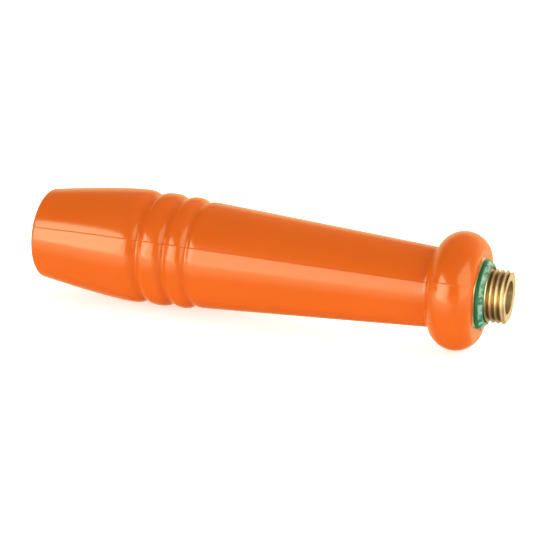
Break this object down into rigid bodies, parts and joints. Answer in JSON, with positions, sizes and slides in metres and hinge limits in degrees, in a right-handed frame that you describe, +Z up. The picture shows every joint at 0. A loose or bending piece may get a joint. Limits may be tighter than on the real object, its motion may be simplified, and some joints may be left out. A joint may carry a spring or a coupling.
{
  "type": "dust blower bulb",
  "caption": "Grip-shaped hollow moulded dust blower body with two ring beads, a bulbous front bead, a sealed brass male pipe-thread outlet and push-in valves.",
  "frame": {"origin": "on the table under the middle of the length, with the tool lying on its barrel and bead", "axes": "+X along the tool towards the threaded outlet, +Z up, Y across"},
  "size_m": [0.1222, 0.0292, 0.0293],
  "materials": {
    "orange_plastic": "glossy moulded orange plastic with a fine mould parting line",
    "green_seal": "glossy green sealing washer",
    "brass": "turned brass with fine machining marks",
    "black_plastic": "matt black moulded plastic",
    "black_rubber": "black nitrile rubber",
    "spring_steel": "bright stainless spring wire and sheet"
  },
  "bodies": {
    "body": {"bulb_body": "orange_plastic", "outlet_fitting": "brass", "outlet_valve_seat": "brass", "outlet_seat_seal": "black_rubber", "outlet_valve_spring": "spring_steel"},
    "washer": {"seal_washer": "green_seal"},
    "outlet_ball": {"outlet_valve_ball": "spring_steel"},
    "intake_valve": {"intake_valve_housing": "black_plastic", "intake_housing_seal": "black_rubber", "intake_poppet_spring": "spring_steel"},
    "intake_poppet": {"intake_poppet": "brass", "intake_poppet_seal": "black_rubber", "intake_stem_clip": "spring_steel"},
    "intake_filter": {"intake_filter_gauze": "spring_steel", "intake_filter_ring": "spring_steel"}
  },
  "joints": [
    {"name": "outlet_ball_lift", "type": "slide", "parent": "body", "child": "outlet_ball", "axis": [1, 0, 0], "range_m": [0, 0.002], "stiffness_N_per_m": 15, "springref_m": -0.001, "deforming": ["outlet_valve_spring"]},
    {"name": "washer_pull_off", "type": "slide", "parent": "body", "child": "washer", "axis": [1, 0, 0], "range_m": [0, 0.008]},
    {"name": "intake_valve_pull_out", "type": "slide", "parent": "body", "child": "intake_valve", "axis": [-1, 0, 0], "range_m": [0, 0.016]},
    {"name": "intake_poppet_lift", "type": "slide", "parent": "intake_valve", "child": "intake_poppet", "axis": [1, 0, 0], "range_m": [0, 0.0012], "stiffness_N_per_m": 30, "springref_m": -0.0005, "deforming": ["intake_poppet_spring"]},
    {"name": "intake_filter_pull_out", "type": "slide", "parent": "intake_valve", "child": "intake_filter", "axis": [-1, 0, 0], "range_m": [0, 0.006]}
  ]
}
